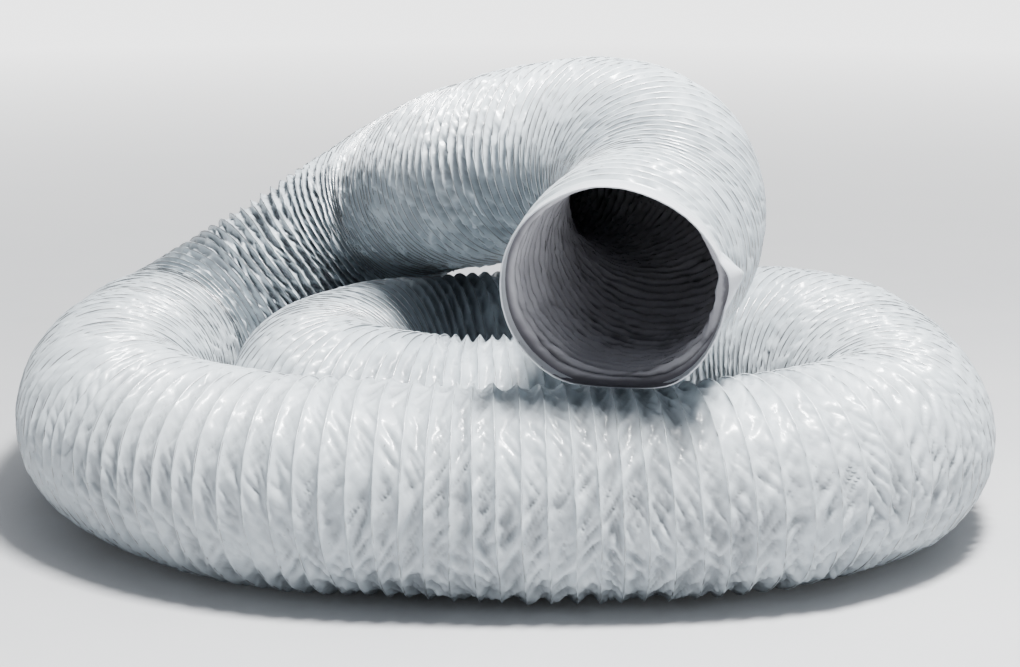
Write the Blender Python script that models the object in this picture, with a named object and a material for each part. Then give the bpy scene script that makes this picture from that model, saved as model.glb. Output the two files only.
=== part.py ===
"""Flexible air duct, 305 mm bore: a coated-fabric wall of two plies over a spring-wire helix,
lying on the floor in one and three quarter turns, with its open mouth on top of the coil.

Metres, +Z up. The origin is on the floor, under the middle of the coil. +X runs along the
front run, from the left bend to the right bend, and -Y is the side that the mouth faces.
"""

import math

import bmesh
import bpy
import numpy as np
from mathutils import Vector

# ---- driving dimensions ----------------------------------------------------------------
INNER_PLY = (0.1500, 0.1511)  # inside and outside radius of the liner
WIRE_CENTRE = 0.1537  # radius of the helix, at the middle of its wire
WIRE_RADIUS = 0.0010
OUTER_PLY = (0.1564, 0.1576)  # inside and outside radius of the coated cover
HEM = (0.1524, 0.1576)  # the folded hem that closes both plies at an open end
HEM_WIDTH = 0.018
WIRE_START = 0.026  # the helix begins and ends this far from the duct's two ends
HELIX_PITCH = 0.104  # one turn here stands for four of the real helix
FACETS = 12  # sides of the wall's cross-section, one of them flat on the floor
GAP = 0.0003  # between pieces that touch
LONGEST_STEP = 0.115  # between two rings along the route
SHARPEST_STEP = math.radians(15)  # bend between two rings
WALL_SMOOTH = math.radians(50)

# Middle of the duct, from the open mouth to the buried tail, as it was laid by hand.
ROUTE = [
    (0.160, -0.637, 0.459),  # mouth
    (0.182, -0.545, 0.475),
    (0.232, -0.384, 0.491),
    (0.240, -0.180, 0.555),  # top bend
    (0.138, -0.015, 0.568),
    (-0.015, 0.158, 0.517),
    (-0.212, 0.516, 0.387),  # the far side, on its way down
    (-0.577, 0.414, 0.163),
    (-0.636, 0.086, 0.158),  # left bend
    (-0.606, -0.160, 0.153),
    (-0.494, -0.352, 0.153),
    (-0.321, -0.484, 0.153),
    (-0.168, -0.529, 0.157),  # front run
    (-0.006, -0.544, 0.151),
    (0.249, -0.538, 0.152),
    (0.413, -0.497, 0.160),
    (0.553, -0.384, 0.157),  # right bend
    (0.634, -0.154, 0.151),
    (0.557, 0.237, 0.169),
    (0.399, 0.350, 0.155),  # back run
    (0.183, 0.351, 0.152),
    (-0.014, 0.310, 0.151),
    (-0.204, 0.229, 0.153),
    (-0.292, 0.068, 0.151),  # tight turn
    (-0.250, -0.106, 0.151),
    (-0.106, -0.207, 0.151),
    (0.083, -0.208, 0.151),
    (0.248, -0.155, 0.151),  # tail, under the mouth
]
REST_HEIGHT = OUTER_PLY[1] * math.cos(math.pi / FACETS)
TOUCHDOWN = 1.86  # distance from the mouth at which the duct reaches the floor

# Stretches of the duct: name, where each ends along the route, the body it belongs to.
STRETCHES = [
    ("mouth", 0.095, "mouth"),
    ("mouth_concertina", 0.215, "mouth"),
    ("collar", 0.255, "collar"),
    ("lift_bend", 0.395, "collar"),
    ("neck", 0.450, "neck"),
    ("top_bend", 0.790, "neck"),
    ("rise", 1.340, "upper_loop"),
    ("descent_bend", 1.820, "upper_loop"),
    ("left_bend", 2.340, "coil"),
    ("front_left", 2.940, "coil"),
    ("front_run", 3.540, "coil"),
    ("right_bend", 4.230, "coil"),
    ("back_bend", 4.720, "coil"),
    ("back_run", 5.180, "coil"),
    ("tight_turn", 5.760, "coil"),
    ("tail_concertina", 5.960, "tail"),
    ("tail", None, "tail"),
]

# Where each moving body turns or slides, as a distance along the route, and what carries it.
BODIES = {
    "coil": (None, None),
    "upper_loop": (1.580, "coil"),
    "neck": (0.620, "upper_loop"),
    "collar": (0.325, "neck"),
    "mouth": (0.155, "collar"),
    "tail": (5.860, "coil"),
}


# ---- the route ---------------------------------------------------------------------------
def natural_spline(points):
    """A smooth curve through the points, and the parameter at which it ends."""
    points = np.array(points)
    knots = np.concatenate([[0], np.cumsum(np.linalg.norm(np.diff(points, axis=0), axis=1) ** 0.75)])
    step = np.diff(knots)
    system = np.eye(len(points))
    target = np.zeros_like(points)
    for i in range(1, len(points) - 1):
        system[i, i - 1 : i + 2] = step[i - 1], 2 * (step[i - 1] + step[i]), step[i]
        target[i] = 6 * ((points[i + 1] - points[i]) / step[i] - (points[i] - points[i - 1]) / step[i - 1])
    bend = np.linalg.solve(system, target)

    def at(value):
        i = np.clip(np.searchsorted(knots, value) - 1, 0, len(step) - 1)
        width = step[i][:, None]
        before = (knots[i + 1] - value)[:, None] / width
        after = (value - knots[i])[:, None] / width
        swell = (before**3 - before) * bend[i] + (after**3 - after) * bend[i + 1]
        return before * points[i] + after * points[i + 1] + swell * width**2 / 6

    return at, knots[-1]


class Route:
    """The duct's centreline by distance from the mouth, resting on the floor where it lies low."""

    def __init__(self, points, samples=4000):
        curve, end = natural_spline(points)
        self.path = curve(np.linspace(0, end, samples))
        self.path[:, 2] = np.maximum(self.path[:, 2], REST_HEIGHT)
        steps = np.linalg.norm(np.diff(self.path, axis=0), axis=1)
        self.along = np.concatenate([[0], np.cumsum(steps)])
        self.length = self.along[-1]

    def point(self, distance):
        return Vector([np.interp(distance, self.along, self.path[:, axis]) for axis in range(3)])

    def direction(self, distance, reach=0.006):
        ahead = min(distance + reach, self.length)
        behind = max(distance - reach, 0)
        return (self.point(ahead) - self.point(behind)).normalized()


class Wall:
    """Rings of corners across the route. A point of the wall lies between two rings' corners."""

    def __init__(self, route, ends):
        self.route = route
        self.stations = [0.0]
        for start, end in zip([0.0, *ends[:-1]], ends):
            bend = self.bend(start, end)
            count = max(1, math.ceil((end - start) / LONGEST_STEP), math.ceil(bend / SHARPEST_STEP))
            self.stations += [start + (end - start) * (i + 1) / count for i in range(count)]
        self.centres = np.array([route.point(s) for s in self.stations])
        self.spokes = np.array([spokes_of(ahead, side) for ahead, side in self.frames()])

    def bend(self, start, end, pieces=24):
        places = np.linspace(start, end, pieces + 1)
        ways = [self.route.direction(place) for place in places]
        return sum(one.angle(other) for one, other in zip(ways, ways[1:]))

    def frames(self):
        """The way ahead and the level side at each ring. Above the floor the side isn't kept
        level: it is carried back from ring to ring, so that the facets don't twist."""
        ways = [self.route.direction(distance) for distance in self.stations]
        sides = [ahead.cross(Vector((0, 0, 1))).normalized() for ahead in ways]
        aloft = [i for i, distance in enumerate(self.stations) if distance < TOUCHDOWN]
        for i in reversed(aloft):
            carried = sides[i + 1]
            sides[i] = (carried - ways[i] * carried.dot(ways[i])).normalized()
        return zip(ways, sides)

    def corner(self, k, distance, radius):
        """The place at one corner of the cross-section, this far along the route."""
        middle = np.array([np.interp(distance, self.stations, self.centres[:, i]) for i in range(3)])
        spokes = self.spokes[:, k % FACETS]
        spoke = np.array([np.interp(distance, self.stations, spokes[:, i]) for i in range(3)])
        return Vector(middle + radius * spoke)

    def places(self, start, end):
        """The stations of a stretch, which keeps half a gap clear of its neighbours."""
        inner = [s for s in self.stations if start + 0.002 < s < end - 0.002]
        return [start + GAP / 2, *inner, end - GAP / 2]


def spokes_of(ahead, side):
    """Unit directions from the middle to the corners, with one facet underneath."""
    up = side.cross(ahead)
    angles = [(k + 0.5) * 2 * math.pi / FACETS for k in range(FACETS)]
    return [up * math.cos(angle) + side * math.sin(angle) for angle in angles]


# ---- solids ----------------------------------------------------------------------------
def material(name, colour, roughness, metallic=0.0):
    made = bpy.data.materials.get(name) or bpy.data.materials.new(name)
    made.use_nodes = True
    shader = made.node_tree.nodes["Principled BSDF"]
    shader.inputs["Base Color"].default_value = (*colour, 1)
    shader.inputs["Roughness"].default_value = roughness
    shader.inputs["Metallic"].default_value = metallic
    return made


def solid(name, form, finish, pivot):
    """A named object from a bmesh in world space, hung on its body's empty."""
    bmesh.ops.recalc_face_normals(form, faces=form.faces)
    bmesh.ops.translate(form, verts=form.verts, vec=-world_place(pivot))
    mesh = bpy.data.meshes.new(name)
    form.to_mesh(mesh)
    form.free()
    mesh.shade_smooth()
    mesh.set_sharp_from_angle(angle=WALL_SMOOTH)
    made = bpy.data.objects.new(name, mesh)
    made.parent = pivot
    mesh.materials.append(finish)
    bpy.context.scene.collection.objects.link(made)
    return made


def world_place(empty):
    place = Vector(empty.location)
    while empty.parent:
        empty = empty.parent
        place += empty.location
    return place


def shell(wall, start, end, radii):
    """A closed tube wall between two radii, one stretch of the route long."""
    form = bmesh.new()
    places = wall.places(start, end)
    rings = []
    for radius in radii:
        rings.append([[form.verts.new(wall.corner(k, s, radius)) for k in range(FACETS)] for s in places])
    inside, outside = rings
    sheets = [*zip(inside, inside[1:]), *zip(outside, outside[1:])]
    sheets += [(inside[0], outside[0]), (inside[-1], outside[-1])]
    for near, far in sheets:
        for k in range(FACETS):
            after = (k + 1) % FACETS
            form.faces.new((near[k], near[after], far[after], far[k]))
    bmesh.ops.triangulate(form, faces=form.faces, quad_method="FIXED")
    return form


def helix(wall, start, end):
    """Spring wire between the plies, from the middle of one facet to the middle of another.
    It passes one corner of the wall after another, FACETS of them in a turn."""
    step = HELIX_PITCH / FACETS
    first, last = (math.floor(place / step) + 0.5 for place in (start, end))
    slack = 0.5 * GAP / (2 * math.pi * WIRE_CENTRE / FACETS)
    turns = [first + slack, *range(math.ceil(first), math.ceil(last)), last - slack]
    form = bmesh.new()
    loops = []
    for turn in turns:
        middle, outward = wire_point(wall, turn, step)
        ahead = wall.route.direction(turn * step)
        corners = []
        for k in range(3):
            angle = 2 * math.pi * k / 3
            offset = outward * math.cos(angle) + ahead * math.sin(angle)
            corners.append(form.verts.new(middle + WIRE_RADIUS * offset))
        loops.append(corners)
    for near, far in zip(loops, loops[1:]):
        for k in range(3):
            after = (k + 1) % 3
            form.faces.new((near[k], near[after], far[after], far[k]))
    form.faces.new(loops[0])
    form.faces.new(loops[-1])
    bmesh.ops.triangulate(form, faces=form.faces, quad_method="FIXED")
    return form


def wire_point(wall, turn, step):
    """Middle of the wire and the way out of the duct there. A part turn lies on its facet."""
    before = math.floor(turn)
    share = turn - before
    ends = [wall.corner(k, min(k * step, wall.route.length), WIRE_CENTRE) for k in (before, before + 1)]
    middle = ends[0].lerp(ends[1], share)
    return middle, (middle - wall.route.point(turn * step)).normalized()


# ---- the duct --------------------------------------------------------------------------
def body_empties(route):
    empties = {}
    for name, (distance, carrier) in BODIES.items():
        empty = bpy.data.objects.new(f"{name}_frame", None)
        empty.empty_display_size = 0.1
        if distance is not None:
            empty.parent = empties[carrier]
            empty.location = route.point(distance) - world_place(empties[carrier])
        bpy.context.scene.collection.objects.link(empty)
        empties[name] = empty
    return empties


def joined(stretches, name_of):
    """Neighbouring stretches with one name become one, as (name, start, end, body)."""
    groups = []
    for name, start, end, body in stretches:
        if groups and name_of(name, body) == groups[-1][0]:
            groups[-1][2] = end
        else:
            groups.append([name_of(name, body), start, end, body])
    return groups


def build():
    for old in list(bpy.data.objects):
        bpy.data.objects.remove(old)

    route = Route(ROUTE)
    ends = [end if end is not None else route.length - HEM_WIDTH for _, end, _ in STRETCHES]
    wall = Wall(route, [HEM_WIDTH, *ends, route.length])
    starts = [HEM_WIDTH, *ends[:-1]]
    stretches = [
        (name, start, end, body) for (name, _, body), start, end in zip(STRETCHES, starts, ends)
    ]
    empties = body_empties(route)

    cover = material("coated_cover", (0.78, 0.82, 0.86), 0.28)
    liner = material("liner", (0.34, 0.35, 0.38), 0.5)
    steel = material("spring_wire", (0.55, 0.56, 0.58), 0.35, 1.0)
    hem = material("hem_fabric", (0.82, 0.85, 0.88), 0.32)

    for name, start, end, body in stretches:
        solid(f"cover_{name}", shell(wall, start, end, OUTER_PLY), cover, empties[body])

    # The liner and the wire run whole through the coil on the floor, and part only at the
    # stretches that bend or fold between two bodies.
    for name, start, end, body in joined(stretches, lambda name, body: "coil" if body == "coil" else name):
        solid(f"liner_{name}", shell(wall, start, end, INNER_PLY), liner, empties[body])
        wire_ends = max(start, WIRE_START), min(end, route.length - WIRE_START)
        solid(f"wire_{name}", helix(wall, *wire_ends), steel, empties[body])

    for name, start, end, body in (
        ("front_hem", 0.0, HEM_WIDTH, "mouth"),
        ("rear_hem", route.length - HEM_WIDTH, route.length, "tail"),
    ):
        solid(name, shell(wall, start, end, HEM), hem, empties[body])


build()
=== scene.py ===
"""The looks of the coiled air duct: creased cover over its ribs, liner, hems, wire and studio."""
import math

import bpy
import numpy as np
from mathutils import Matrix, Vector


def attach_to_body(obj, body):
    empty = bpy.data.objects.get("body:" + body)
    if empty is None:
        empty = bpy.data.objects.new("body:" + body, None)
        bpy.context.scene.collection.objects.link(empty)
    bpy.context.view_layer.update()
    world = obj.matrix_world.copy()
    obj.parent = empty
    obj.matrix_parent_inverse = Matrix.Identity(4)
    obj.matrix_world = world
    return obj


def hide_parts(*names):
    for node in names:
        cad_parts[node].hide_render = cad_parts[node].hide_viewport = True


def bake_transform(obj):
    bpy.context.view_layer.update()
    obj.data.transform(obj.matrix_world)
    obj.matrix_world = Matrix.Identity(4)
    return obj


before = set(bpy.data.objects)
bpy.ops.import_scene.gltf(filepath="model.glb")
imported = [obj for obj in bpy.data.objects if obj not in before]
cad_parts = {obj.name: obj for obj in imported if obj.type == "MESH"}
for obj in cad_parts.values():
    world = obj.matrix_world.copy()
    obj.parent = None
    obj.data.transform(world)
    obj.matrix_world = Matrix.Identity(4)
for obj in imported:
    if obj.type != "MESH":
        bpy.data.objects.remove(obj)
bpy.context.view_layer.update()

# ---- sizes, in metres ----------------------------------------------------------------------
RIB_RADIUS = 0.1568  # outside of the cover over the wire
CUFF_RADIUS = 0.1562  # outside of the smooth band at an open end
WIRE_RADIUS = 0.0010
HEM_WIDTH = 0.016
WIRE_START = 0.026  # the helix begins this far from an open end
CUT_PITCH = 0.037  # width of fabric between two ribs when it is drawn flat
REST_HEIGHT = 0.15223
MOUTH_SEAT = 0.322  # the mouth's underside is flattened where it rests on the front run
SEAT_SOFTNESS = 0.007  # how gradually that flattening sets in
GROUND = 0.0004  # the cover lies this far above the floor
CREST_INSET = 0.0010  # the fabric beside a wire lies this far inside the ribs' outside
SAG = 0.0046  # depth of the fabric between two ribs where it is drawn flat
SLACK_SAG = 0.0086  # and how much deeper it hangs where the ribs are pushed together
FOLD_HEIGHT = 0.0034
EDGE_MARGIN = 0.0020  # the cover and the liner stop this far inside the hems

COLUMNS = 224  # faces round the duct
LINER_COLUMNS = 144
WIRE_COLUMNS = 96
WIRE_SIDES = 6
HEM_COLUMNS = 2 * COLUMNS
ROUND = 2 * math.pi * RIB_RADIUS

# The same route as the CAD's, from the open mouth to the tail. Its points weren't chosen by
# hand: a curve fit gave them, and some heights were then set one by one.
ROUTE = [
    (0.160, -0.637, 0.459),
    (0.182, -0.545, 0.475),
    (0.232, -0.384, 0.491),
    (0.240, -0.180, 0.555),
    (0.138, -0.015, 0.568),
    (-0.015, 0.158, 0.517),
    (-0.212, 0.516, 0.387),
    (-0.577, 0.414, 0.163),
    (-0.636, 0.086, 0.158),
    (-0.606, -0.160, 0.153),
    (-0.494, -0.352, 0.153),
    (-0.321, -0.484, 0.153),
    (-0.168, -0.529, 0.157),
    (-0.006, -0.544, 0.151),
    (0.249, -0.538, 0.152),
    (0.413, -0.497, 0.160),
    (0.553, -0.384, 0.157),
    (0.634, -0.154, 0.151),
    (0.557, 0.237, 0.169),
    (0.399, 0.350, 0.155),
    (0.183, 0.351, 0.152),
    (-0.014, 0.310, 0.151),
    (-0.204, 0.229, 0.153),
    (-0.292, 0.068, 0.151),
    (-0.250, -0.106, 0.151),
    (-0.106, -0.207, 0.151),
    (0.083, -0.208, 0.151),
    (0.248, -0.155, 0.151),
]

# name, where it ends along the route, and its body, or the two bodies that it bends between
STRETCHES = [
    ("mouth", 0.095, "mouth"),
    ("mouth_concertina", 0.215, ("mouth", "collar")),
    ("collar", 0.255, "collar"),
    ("lift_bend", 0.395, ("collar", "neck")),
    ("neck", 0.450, "neck"),
    ("top_bend", 0.790, ("neck", "upper_loop")),
    ("rise", 1.340, "upper_loop"),
    ("descent_bend", 1.820, ("upper_loop", "coil")),
    ("left_bend", 2.340, "coil"),
    ("front_left", 2.940, "coil"),
    ("front_run", 3.540, "coil"),
    ("right_bend", 4.230, "coil"),
    ("back_bend", 4.720, "coil"),
    ("back_run", 5.180, "coil"),
    ("tight_turn", 5.760, "coil"),
    ("tail_concertina", 5.960, ("coil", "tail")),
    ("tail", None, "tail"),
]

# distance along the route, rib pitch there, and how creased the cover is
LAY = np.array(
    [
        (0.00, 0.0220, 0.70),
        (0.30, 0.0195, 0.80),
        (0.60, 0.0175, 0.90),
        (0.85, 0.0190, 1.45),
        (1.10, 0.0220, 1.75),
        (1.50, 0.0210, 1.75),
        (1.90, 0.0235, 1.25),
        (2.40, 0.0265, 0.85),
        (2.90, 0.0300, 0.95),
        (3.30, 0.0325, 1.15),
        (3.80, 0.0300, 1.45),
        (4.20, 0.0265, 1.20),
        (4.60, 0.0215, 1.00),
        (5.00, 0.0230, 0.95),
        (5.40, 0.0185, 1.15),
        (5.80, 0.0190, 0.95),
        (6.18, 0.0230, 0.70),
    ]
)


# ---- the route -----------------------------------------------------------------------------
def natural_spline(points):
    points = np.array(points)
    knots = np.concatenate([[0], np.cumsum(np.linalg.norm(np.diff(points, axis=0), axis=1) ** 0.75)])
    step = np.diff(knots)
    system = np.eye(len(points))
    target = np.zeros_like(points)
    for i in range(1, len(points) - 1):
        system[i, i - 1 : i + 2] = step[i - 1], 2 * (step[i - 1] + step[i]), step[i]
        target[i] = 6 * ((points[i + 1] - points[i]) / step[i] - (points[i] - points[i - 1]) / step[i - 1])
    bend = np.linalg.solve(system, target)

    def at(value):
        i = np.clip(np.searchsorted(knots, value) - 1, 0, len(step) - 1)
        width = step[i][:, None]
        before = (knots[i + 1] - value)[:, None] / width
        after = (value - knots[i])[:, None] / width
        swell = (before**3 - before) * bend[i] + (after**3 - after) * bend[i + 1]
        return before * points[i] + after * points[i + 1] + swell * width**2 / 6

    return at, knots[-1]


def along_table(columns, distance):
    """Each column of a table over SAMPLE, read at these distances."""
    return np.stack([np.interp(distance, SAMPLE, columns[:, i]) for i in range(columns.shape[1])], -1)


def smoothed(values, reach):
    """A running mean, so that the frames turn evenly along the route."""
    window = np.hanning(2 * reach + 1)
    padded = np.pad(values, ((reach, reach), (0, 0)), mode="edge")
    return np.stack([np.convolve(padded[:, i], window / window.sum(), "valid") for i in range(3)], -1)


def unit(vectors):
    return vectors / np.linalg.norm(vectors, axis=-1, keepdims=True)


curve, curve_end = natural_spline(ROUTE)
PATH = curve(np.linspace(0, curve_end, 4000))
PATH[:, 2] = np.maximum(PATH[:, 2], REST_HEIGHT)
SAMPLE = np.concatenate([[0], np.cumsum(np.linalg.norm(np.diff(PATH, axis=0), axis=1))])
LENGTH = SAMPLE[-1]
AHEAD = unit(smoothed(np.gradient(PATH, SAMPLE, axis=0), 18))
SIDE = unit(np.cross(AHEAD, (0.0, 0.0, 1.0)))
UP = np.cross(SIDE, AHEAD)
CURVING = smoothed(np.gradient(AHEAD, SAMPLE, axis=0), 40)

# Turns of the helix from its start, by distance, a little way past both ends of the duct.
MEASURE = np.concatenate([[-0.1], SAMPLE, [LENGTH + 0.1]])
TURNS = np.cumsum(np.diff(MEASURE, prepend=MEASURE[0]) / np.interp(MEASURE, LAY[:, 0], LAY[:, 1]))
TURNS -= np.interp(WIRE_START, MEASURE, TURNS)


# ---- noise ---------------------------------------------------------------------------------
def scramble(i, j, seed):
    """An angle for each whole-numbered pair, the same each run."""
    mixed = (i * 374761393 + j * 668265263 + seed * 1442695041) & 0xFFFFFFFF
    mixed = ((mixed ^ (mixed >> 13)) * 1274126177) & 0xFFFFFFFF
    mixed = (mixed ^ (mixed >> 16)) & 0xFFFFFF
    return mixed * (2 * math.pi / 0x1000000)


def noise(a, b, seed, shift, period):
    """Gradient noise, about -1 to 1. It repeats when b grows by period and a by shift."""
    i, j = np.floor(a).astype(np.int64), np.floor(b).astype(np.int64)
    x, y = a - i, b - j
    fade = [t * t * t * (t * (t * 6 - 15) + 10) for t in (x, y)]
    total = 0.0
    for di in (0, 1):
        for dj in (0, 1):
            rounds = np.floor_divide(j + dj, period)
            angle = scramble(i + di - rounds * shift, j + dj - rounds * period, seed)
            slope = np.cos(angle) * (x - di) + np.sin(angle) * (y - dj)
            weight = (fade[0] if di else 1 - fade[0]) * (fade[1] if dj else 1 - fade[1])
            total = total + slope * weight
    return total * 1.5


def creases(distance, angle, seed, slant, short, long, wobble=0.0):
    """Noise drawn out along a slant to the ribs. A positive slant climbs towards the tail."""
    tilt = math.radians(slant)
    girth = angle / (2 * math.pi)
    shift = round(ROUND * math.sin(tilt) / short)
    period = round(ROUND * math.cos(tilt) / long)
    a = distance * math.cos(tilt) / short + shift * girth + wobble
    b = -distance * math.sin(tilt) / long + period * girth
    return noise(a, b, seed, shift, period)


def bay_creases(across, strip, seed, slant, short, long):
    """Creases of one bay between two ribs. Strip is the distance along the bay, round the duct."""
    tilt = math.radians(slant)
    a = (across * math.cos(tilt) + strip * math.sin(tilt)) / short
    b = (strip * math.cos(tilt) - across * math.sin(tilt)) / long
    return noise(a + 500, b + 500, seed, 0, 1 << 20)


def ease(value):
    value = np.clip(value, 0, 1)
    return value * value * (3 - 2 * value)


def off_ends(distance, margin, reach):
    """0 within a margin of either end of the duct, rising to 1 over a reach."""
    return ease((distance - margin) / reach) * ease((LENGTH - margin - distance) / reach)


# ---- the wall's surface -----------------------------------------------------------------------
TENT_ANGLE = math.radians(80)  # where the wire's end pushes out the cuff, round from the top
TENT_PLACE = 0.020
TENT_HEIGHT = 0.026
TENT_REACH = 0.030  # along the duct, each way


def outward(distance, angle):
    """Unit directions out of the duct. The angle is from the top, towards the front."""
    up, side = along_table(UP, distance), along_table(SIDE, distance)
    return np.cos(angle)[:, None] * up + np.sin(angle)[:, None] * side


def tent(distance, angle):
    """The fabric stretched over the loose end of the wire, a low pyramid at the mouth's right."""
    across = (angle - TENT_ANGLE) * RIB_RADIUS
    along = distance - TENT_PLACE
    trail = np.where(across > 0, 0.055, 0.034)
    spread = np.sqrt((across / trail) ** 2 + (along / TENT_REACH) ** 2)
    return TENT_HEIGHT * np.clip(1 - spread, 0, 1) ** 1.35


def relief(distance, angle, share=1.0):
    """Radius of the cover's outside: ribs, the slack fabric between them, and its creases."""
    out = outward(distance, angle)
    turn = np.interp(distance, MEASURE, TURNS) - angle / (2 * math.pi)
    pitch = np.interp(distance, LAY[:, 0], LAY[:, 1])
    rumple = np.interp(distance, LAY[:, 0], LAY[:, 2])
    bend = (out * along_table(CURVING, distance)).sum(1)
    spacing = pitch * np.clip(1 - 0.95 * RIB_RADIUS * bend, 0.25, 1.9)
    slack = np.clip(1 - spacing / CUT_PITCH, 0, 1)
    below = ease(0.5 - 0.75 * out[:, 2])

    # The fabric sags between two ribs, deeper where it is slack.
    drift = creases(distance, angle, 11, 0, 0.045, 0.11)
    part = turn % 1.0
    across = part * pitch
    strip = (np.floor(turn) + angle / (2 * math.pi)) * ROUND
    lean = 2.0 ** (1.2 * bay_creases(across, strip, 12, 0, 0.3, 0.06) + 0.4 * (below - 0.3))
    bay = np.sin(math.pi * part**lean)
    depth = (SAG + SLACK_SAG * slack**0.8) * (1 + 0.35 * drift)
    depth = np.minimum(depth, 0.62 * spacing)

    # Folds that cross each bay between two ribs on a slant, and finer ones between them. The
    # upper loop has more of the second slant.
    fold = bay_creases(across, strip, 21, 26, 0.0150, 0.100)
    other = bay_creases(across, strip, 22, -26, 0.0150, 0.090)
    fine = bay_creases(across, strip, 23, 34, 0.0085, 0.036)
    broad = creases(distance, angle, 24, 30, 0.040, 0.120, 0.6 * drift)
    upper = ease((2.1 - distance) / 0.4)
    choice = ease(0.30 + 0.48 * upper + 1.2 * creases(distance, angle, 25, 0, 0.10, 0.16))
    puffs = 3.0 * np.abs(fold) ** 0.65 * (1 - 0.8 * choice)
    puffs += 2.8 * np.abs(other) ** 0.65 * (0.15 + 0.85 * choice)
    puffs += 0.9 * np.abs(fine) ** 0.75 + 0.7 * np.abs(broad) ** 0.8 - 2.7
    between = 0.10 + 0.90 * np.clip(np.sin(math.pi * part), 0, 1) ** 0.55
    crumple = share * FOLD_HEIGHT * rumple * (0.70 + 0.75 * below + 0.8 * slack) * between * puffs

    nearest = np.minimum(part, 1 - part) * spacing
    over_wire = 0.0014 * np.exp(-((nearest / 0.0019) ** 2))
    started = off_ends(distance, 0.018, 0.022)
    loose = 0.0022 * creases(distance, angle, 31, 0, 0.16, 0.30) + 0.0011 * drift
    ribbed = RIB_RADIUS - CREST_INSET - depth * bay ** (0.85 + 1.1 * slack) + crumple + over_wire
    ribbed += loose * (0.4 + 0.6 * rumple)
    cuff = CUFF_RADIUS - 0.0012 + 0.0024 * creases(distance, angle, 32, 8, 0.05, 0.12)
    return cuff + started * (ribbed - cuff) + tent(distance, angle)


def on_wall(distance, angle, inset=0.0, radius=None):
    """Places on the wall. They stay off the floor, which flattens the underside."""
    if radius is None:
        radius = relief(distance, angle)
    wander = 0.0050 * creases(distance, angle, 41, 0, 0.12, 0.33)
    wander += 0.0014 * creases(distance, angle, 43, 0, 0.05, 0.10)
    wander *= 0.45 + 0.6 * np.interp(distance, LAY[:, 0], LAY[:, 2])
    wander *= off_ends(distance, 0.05, 0.1)
    place = along_table(PATH, distance + wander) + (radius - inset)[:, None] * outward(distance, angle)
    ground = GROUND + inset
    soft = 0.0012 * np.abs(creases(distance, angle, 42, 20, 0.02, 0.05))
    place[:, 2] = np.where(place[:, 2] < ground + soft, ground + soft * 0.8, place[:, 2])
    sunk = np.minimum((MOUTH_SEAT + inset - place[:, 2]) / SEAT_SOFTNESS, 30)
    place[:, 2] += SEAT_SOFTNESS * 0.9 * np.log1p(np.exp(sunk)) * ease((0.35 - distance) / 0.1)
    return place


# ---- meshes ------------------------------------------------------------------------------------
ROW_PLACES = np.array([0, 0.035, 0.08, 0.15, 0.24, 0.34, 0.45, 0.55, 0.66, 0.76, 0.85, 0.92, 0.965])


class Sheet:
    """The wall drawn as one helical strip of faces, so that every rib is a row. Past the last
    column of a row comes the first column of the row one turn further on. Both ends are cut
    off square, at a margin from the ends of the duct."""

    def __init__(self, shares, columns, margin, surface, outward_facing=True):
        rows = len(shares)
        first = math.floor(np.interp(margin, MEASURE, TURNS) - 1.1)
        last = math.ceil(np.interp(LENGTH - margin, MEASURE, TURNS) + 0.1)
        turns = (np.arange(first, last)[:, None] + shares[None, :]).ravel()
        count = len(turns)
        row, column = np.divmod(np.arange(count * columns), columns)
        girth = column / columns
        distance = np.interp(turns[row] + girth, TURNS, MEASURE)
        self.distance = np.clip(distance, margin, LENGTH - margin)
        self.places = surface(self.distance, girth * 2 * math.pi)

        # The corners that an end cuts off a column become one corner.
        index = np.arange(count * columns)
        near, far = distance <= margin, distance >= LENGTH - margin
        index[near] = column[near]
        index[far] = (count - 1) * columns + column[far]
        self.places[index[far]] = self.places[far]
        after = (row + (column + 1) // columns * rows) * columns + (column + 1) % columns
        here = np.arange(count * columns)[(row < count - 1) & (after + columns < count * columns)]
        after = after[here]
        corners = [here, after, after + columns, here + columns]
        a, b, c, d = (index[corner] for corner in (corners if outward_facing else corners[::-1]))
        faces = np.concatenate([np.stack([a, b, c], 1), np.stack([a, c, d], 1)])
        one, two, three = faces.T
        self.faces = faces[(one != two) & (two != three) & (one != three)]
        self.painted_fold_shade = painted_fold_shade(self.distance, girth * 2 * math.pi)
        self.middle = self.distance[self.faces].mean(1)
        self.normals = vertex_normals(self.places, self.faces)

    def piece(self, name, start, end, finish):
        chosen = self.faces[(self.middle >= start) & (self.middle < end)]
        return mesh_piece(name, self.places, chosen, finish, self.normals, self.painted_fold_shade)


def vertex_normals(places, faces):
    a, b, c = (places[faces[:, i]] for i in range(3))
    facing = np.cross(b - a, c - a)
    total = np.stack(
        [np.bincount(faces.ravel(), np.repeat(facing[:, i], 3), len(places)) for i in range(3)], 1
    )
    return total / np.maximum(np.linalg.norm(total, axis=1, keepdims=True), 1e-15)


def mesh_piece(name, places, faces, finish, normals=None, painted_shade_values=None):
    """A mesh object of just the vertices that its faces use."""
    used, index = np.unique(faces, return_inverse=True)
    mesh = bpy.data.meshes.new(name)
    mesh.from_pydata(places[used].tolist(), [], index.reshape(faces.shape).tolist())
    mesh.shade_smooth()
    # The painted-shade mask, kept on the vertices for the materials to darken the folds with.
    if painted_shade_values is not None:
        layer = mesh.attributes.new("painted_fold_shade", "FLOAT", "POINT")
        layer.data.foreach_set("value", painted_shade_values[used].astype(np.float32))
    if normals is not None:
        mesh.normals_split_custom_set_from_vertices(normals[used].tolist())
    return in_scene(name, mesh, finish)


def in_scene(name, mesh, finish):
    mesh.materials.append(finish)
    made = bpy.data.objects.new(name, mesh)
    bpy.context.scene.collection.objects.link(made)
    return made


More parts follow.
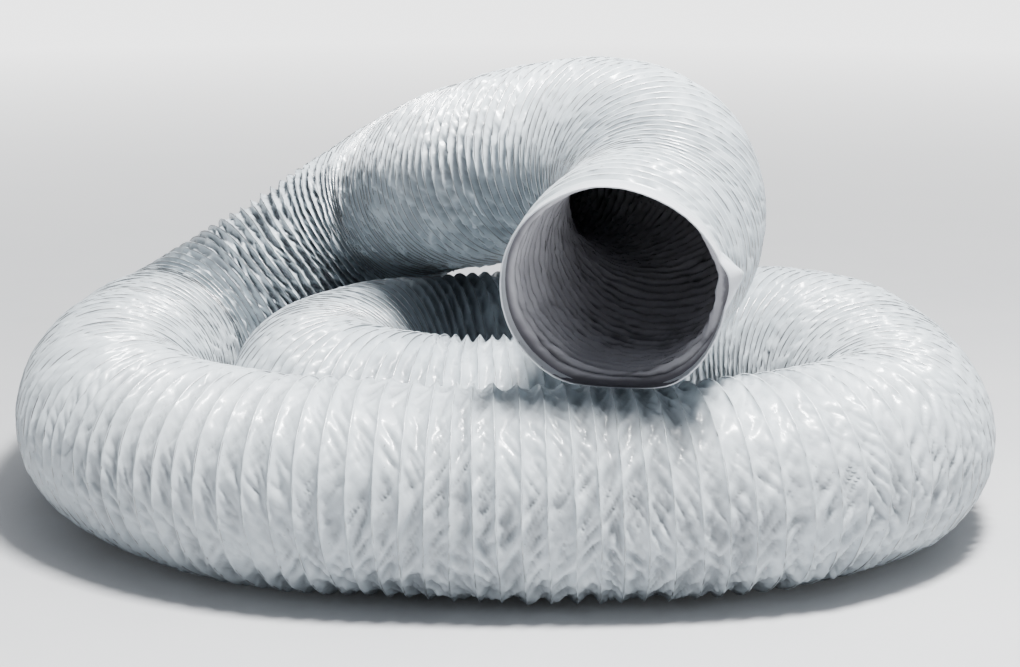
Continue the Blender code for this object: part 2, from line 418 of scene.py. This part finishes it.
def ring_faces(rings, columns, outward_facing=True):
    """Faces of a band that closes on itself, from the first ring of corners to the last."""
    row, column = np.divmod(np.arange((rings - 1) * columns), columns)
    here = row * columns + column
    after = row * columns + (column + 1) % columns
    corners = [here, after, after + columns, here + columns]
    return np.stack(corners if outward_facing else corners[::-1], 1)


# ---- materials ---------------------------------------------------------------------------------
class Paint:
    """A material's nodes, laid down one after another."""

    def __init__(self, name):
        self.material = bpy.data.materials.new(name)
        self.material.use_nodes = True
        self.tree = self.material.node_tree
        self.shader = self.tree.nodes["Principled BSDF"]
        self.place = self.add("ShaderNodeTexCoord").outputs["Object"]

    def add(self, kind, links=None, **values):
        node = self.tree.nodes.new(kind)
        for key, value in values.items():
            if key in node.inputs:
                node.inputs[key].default_value = value
            else:
                setattr(node, key, value)
        for key, source in (links or {}).items():
            self.tree.links.new(source, node.inputs[key])
        return node

    def noise(self, scale, detail, roughness=0.55):
        values = {"Scale": scale, "Detail": detail, "Roughness": roughness}
        return self.add("ShaderNodeTexNoise", {"Vector": self.place}, **values).outputs["Fac"]

    def ramp(self, source, *stops):
        node = self.add("ShaderNodeValToRGB", {"Fac": source})
        stones = node.color_ramp.elements
        for i, (at, colour) in enumerate(stops):
            stone = stones[i] if i < 2 else stones.new(at)
            stone.position = at
            stone.color = (*colour, 1)
        return node.outputs["Color"]

    def value(self, source, low, high, frm=0.3, to=0.7):
        values = {"From Min": frm, "From Max": to, "To Min": low, "To Max": high}
        return self.add("ShaderNodeMapRange", {"Value": source}, **values).outputs["Result"]

    def mix(self, share, one, other):
        node = self.add("ShaderNodeMix", data_type="RGBA")
        factor, first, second = (node.inputs[i] for i in (0, 6, 7))
        for socket, source in ((factor, share), (first, one), (second, other)):
            if isinstance(source, tuple):
                socket.default_value = (*source, 1)
            else:
                self.tree.links.new(source, socket)
        return node.outputs[2]

    def finish(self, colour, roughness, bump=None, strength=0.2, distance=0.001, **values):
        self.tree.links.new(colour, self.shader.inputs["Base Color"])
        self.tree.links.new(roughness, self.shader.inputs["Roughness"])
        for key, value in values.items():
            self.shader.inputs[key.replace("_", " ")].default_value = value
        if bump is not None:
            height = {"Height": bump}
            node = self.add("ShaderNodeBump", height, Strength=strength, Distance=distance)
            self.tree.links.new(node.outputs["Normal"], self.shader.inputs["Normal"])
        return self.material


def cover_finish():
    paint = Paint("coated_cover")
    broad, fine = paint.noise(3.1, 5.0), paint.noise(38.0, 6.0, 0.6)
    film = paint.ramp(broad, (0.30, (0.56, 0.615, 0.655)), (0.72, (0.645, 0.695, 0.73)))
    scuffs = paint.value(paint.noise(11.0, 9.0, 0.72), 0.0, 0.28, 0.52, 0.80)
    film = paint.mix(scuffs, film, (0.40, 0.43, 0.47))
    specks = paint.value(paint.noise(150.0, 2.0), 0.0, 0.55, 0.70, 0.78)
    film = paint.mix(specks, film, (0.20, 0.20, 0.20))
    # Painted shade: the cover is painted darker towards the bottom of its folds, where shade falls.
    painted_shade = paint.add("ShaderNodeAttribute", attribute_name="painted_fold_shade").outputs["Fac"]
    film = paint.mix(paint.value(painted_shade, 0.0, 0.62, 0.38, 1.0), film, (0.20, 0.215, 0.235))
    gloss = paint.value(fine, 0.28, 0.44)
    weave = paint.noise(420.0, 3.0)
    coat = {"Coat_Weight": 0.22, "Coat_Roughness": 0.14}
    return paint.finish(film, gloss, weave, 0.10, 0.0006, Specular_IOR_Level=0.62, **coat)


def liner_finish():
    paint = Paint("liner")
    film = paint.ramp(paint.noise(5.0, 6.0), (0.30, (0.47, 0.465, 0.50)), (0.70, (0.60, 0.60, 0.635)))
    # Painted shade: the liner is painted dark where the cover stands out, as along the ribs, and stays
    # light in the bays between.
    painted_shade = paint.add("ShaderNodeAttribute", attribute_name="painted_fold_shade").outputs["Fac"]
    film = paint.mix(paint.value(painted_shade, 0.75, 0.0, 0.10, 0.50), film, (0.10, 0.095, 0.115))
    gloss = paint.value(paint.noise(45.0, 5.0), 0.32, 0.52)
    return paint.finish(film, gloss, paint.noise(300.0, 3.0), 0.15, 0.0006, Specular_IOR_Level=0.5)


def hem_finish():
    paint = Paint("hem_fabric")
    film = paint.ramp(paint.noise(9.0, 5.0), (0.30, (0.60, 0.63, 0.68)), (0.72, (0.70, 0.725, 0.76)))
    gloss = paint.value(paint.noise(60.0, 5.0), 0.28, 0.42)
    return paint.finish(film, gloss, paint.noise(500.0, 2.0), 0.15, 0.0006, Specular_IOR_Level=0.55)


def wire_finish():
    paint = Paint("spring_wire")
    steel = paint.ramp(paint.noise(22.0, 5.0), (0.30, (0.36, 0.36, 0.37)), (0.70, (0.56, 0.56, 0.57)))
    gloss = paint.value(paint.noise(80.0, 4.0), 0.28, 0.45)
    return paint.finish(steel, gloss, Metallic=1.0)


def floor_finish():
    """Pale paper that glows with distance, so that the duct stands before a white ground."""
    paint = Paint("studio_floor")
    paper = paint.ramp(paint.noise(2.0, 3.0), (0.30, (0.55, 0.56, 0.58)), (0.70, (0.59, 0.598, 0.61)))
    gloss = paint.value(paint.noise(30.0, 4.0), 0.55, 0.65)
    away = paint.add("ShaderNodeVectorMath", {0: paint.place}, operation="LENGTH").outputs["Value"]
    glow = paint.value(away, 0.0, 1.9, 0.5, 9.0)
    paint.tree.links.new(glow, paint.shader.inputs["Emission Strength"])
    return paint.finish(paper, gloss, Specular_IOR_Level=0.3, Emission_Color=(1.0, 1.0, 1.0, 1))


# ---- pieces of the duct ---------------------------------------------------------------------------
def bounded_stretches():
    start = 0.0
    for name, end, body in STRETCHES:
        end = LENGTH if end is None else end
        yield name, start, end, body
        start = end


def attach(piece, body):
    if isinstance(body, str):
        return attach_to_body(piece, body)
    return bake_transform(piece)


def painted_fold_shade(distance, angle):
    """How deep a place lies in the cover's folds, the mask for painted shade: the cover is painted darker
    towards the bottom of its folds, and the liner darker along the ribs.
    """
    sunk = (RIB_RADIUS - CREST_INSET - relief(distance, angle)) / 0.0095
    patchy = 0.75 + 0.45 * creases(distance, angle, 61, 10, 0.09, 0.15)
    return np.clip(sunk * patchy, 0, 1)


def liner_wall(distance, angle):
    """The liner hangs just inside the cover. It is drawn tighter, so its folds are shallower."""
    inset = 0.0018 + 0.0054 * off_ends(distance, 0.01, 0.03)
    return on_wall(distance, angle, inset, relief(distance, angle, 0.45))


def hem(name, sign, finish):
    """The fabric folded over an open end, with its rolled edge and a stitched step."""
    profile = [(HEM_WIDTH, -0.0004), (HEM_WIDTH, 0.0004), (0.0148, 0.0006), (0.0140, 0.0002)]
    profile += [(0.0130, 0.0006), (0.0060, 0.0006)]
    profile += [
        (0.0013 - 0.0013 * math.sin(t), -0.0007 + 0.0013 * math.cos(t))
        for t in np.linspace(0, math.pi, 9)
    ]
    profile += [(0.0080, -0.0022), (0.0120, -0.0026), (0.0138, -0.0032), (HEM_WIDTH, -0.0034)]
    angle = np.tile(np.arange(HEM_COLUMNS) / HEM_COLUMNS * 2 * math.pi, len(profile))
    depth, rise = (np.repeat([pair[i] for pair in profile], HEM_COLUMNS) for i in range(2))
    distance = depth if sign > 0 else LENGTH - depth
    radius = relief(distance, angle) + rise
    radius += 0.0004 * creases(distance, angle, 51, 0, 0.02, 0.012)
    places = on_wall(distance, angle, 0.0, radius)
    faces = ring_faces(len(profile), HEM_COLUMNS, sign < 0)
    return mesh_piece(name, places, faces, finish)


def wire(name, start, end, finish):
    """The spring wire between cover and liner, round under every rib."""
    turns = np.arange(
        math.ceil(max(np.interp(start, MEASURE, TURNS), 0.02) * WIRE_COLUMNS),
        math.floor(np.interp(min(end, LENGTH - WIRE_START), MEASURE, TURNS) * WIRE_COLUMNS),
    )
    distance = np.interp(turns / WIRE_COLUMNS, TURNS, MEASURE)
    angle = turns / WIRE_COLUMNS * 2 * math.pi
    middle = on_wall(distance, angle, 0.0020, relief(distance, angle, 0.3))
    out = outward(distance, angle)
    ahead = along_table(AHEAD, distance)
    rings = []
    for side in np.arange(WIRE_SIDES) * 2 * math.pi / WIRE_SIDES:
        rings.append(middle + WIRE_RADIUS * (math.cos(side) * out + math.sin(side) * ahead))
    places = np.stack(rings, 1).reshape(-1, 3)
    caps = range(WIRE_SIDES)[::-1], range(len(places) - WIRE_SIDES, len(places))
    faces = [tuple(cap) for cap in caps]
    faces += [tuple(face) for face in ring_faces(len(turns), WIRE_SIDES).tolist()]
    mesh = bpy.data.meshes.new(name)
    mesh.from_pydata(places.tolist(), [], faces)
    mesh.shade_smooth()
    return in_scene(name, mesh, finish)


cover_look = cover_finish()
liner_look = liner_finish()
hem_look = hem_finish()
wire_look = wire_finish()
cover_sheet = Sheet(ROW_PLACES, COLUMNS, EDGE_MARGIN, on_wall)
liner_sheet = Sheet(ROW_PLACES[::2], LINER_COLUMNS, EDGE_MARGIN, liner_wall, False)

# The wire runs whole through the coil, as it does in the CAD.
through_coil = [stretch for stretch in bounded_stretches() if stretch[3] == "coil"]
wired = [stretch for stretch in bounded_stretches() if stretch[3] != "coil"]
wired.append(("coil", through_coil[0][1], through_coil[-1][2], "coil"))
for name, start, end, body in bounded_stretches():
    last = end if end < LENGTH else math.inf
    piece = cover_sheet.piece(f"skin_{name}", start, last, cover_look)
    attach(piece, body)
    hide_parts(f"cover_{name}")
    piece = liner_sheet.piece(f"inside_{name}", start, last, liner_look)
    attach(piece, body)
    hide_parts("liner_coil" if body == "coil" else f"liner_{name}")
for name, start, end, body in wired:
    piece = wire(f"helix_{name}", start, end, wire_look)
    attach(piece, body)
    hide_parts(f"wire_{name}")
for name, sign, body in (("front_hem", 1, "mouth"), ("rear_hem", -1, "tail")):
    piece = hem(f"fold_{name}", sign, hem_look)
    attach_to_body(piece, body)
    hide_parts(name)


# ---- studio and camera ---------------------------------------------------------------------------
FLOOR_REACH = 40.0
CAMERA_PLACE = (0.0218, -3.5770, 1.0422)
CAMERA_DIP = 0.21354  # radians below level
CAMERA_LENS = 77.93  # mm, on a sensor 36 mm wide


def look_at(made, place, target):
    made.location = place
    made.rotation_euler = (Vector(target) - Vector(place)).to_track_quat("-Z", "Y").to_euler()
    bpy.context.scene.collection.objects.link(made)


def softbox(name, place, target, size, watts, tint):
    lamp = bpy.data.lights.new(name, "AREA")
    lamp.shape = "RECTANGLE"
    lamp.size, lamp.size_y = size
    lamp.energy = watts
    lamp.color = tint
    look_at(bpy.data.objects.new(name, lamp), place, target)


def studio():
    mesh = bpy.data.meshes.new("studio_floor")
    ways = [(-1, -1), (1, -1), (1, 1), (-1, 1)]
    corners = [(x * FLOOR_REACH, y * FLOOR_REACH, 0) for x, y in ways]
    mesh.from_pydata(corners, [], [(0, 1, 2, 3)])
    in_scene("studio_floor", mesh, floor_finish())

    softbox("ceiling", (0.3, 0.6, 4.4), (0.0, 0.0, 0.0), (5.0, 4.0), 75, (0.95, 0.975, 1.0))
    softbox("key", (0.7, -0.95, 3.3), (0.1, -0.2, 0.3), (0.75, 0.55), 275, (1.0, 0.99, 0.97))

    world = bpy.data.worlds.new("studio")
    world.use_nodes = True
    world.node_tree.nodes["Background"].inputs["Color"].default_value = (0.84, 0.90, 1.0, 1)
    world.node_tree.nodes["Background"].inputs["Strength"].default_value = 0.13
    bpy.context.scene.world = world
    bpy.context.scene.view_settings.look = "AgX - Medium High Contrast"


def camera():
    lens = bpy.data.cameras.new("camera")
    lens.sensor_width = 36.0
    lens.lens = CAMERA_LENS
    lens.clip_start = 0.05
    lens.clip_end = 100.0
    made = bpy.data.objects.new("camera", lens)
    made.location = CAMERA_PLACE
    made.rotation_euler = (math.pi / 2 - CAMERA_DIP, 0, 0)
    bpy.context.scene.collection.objects.link(made)
    bpy.context.scene.camera = made


studio()
camera()
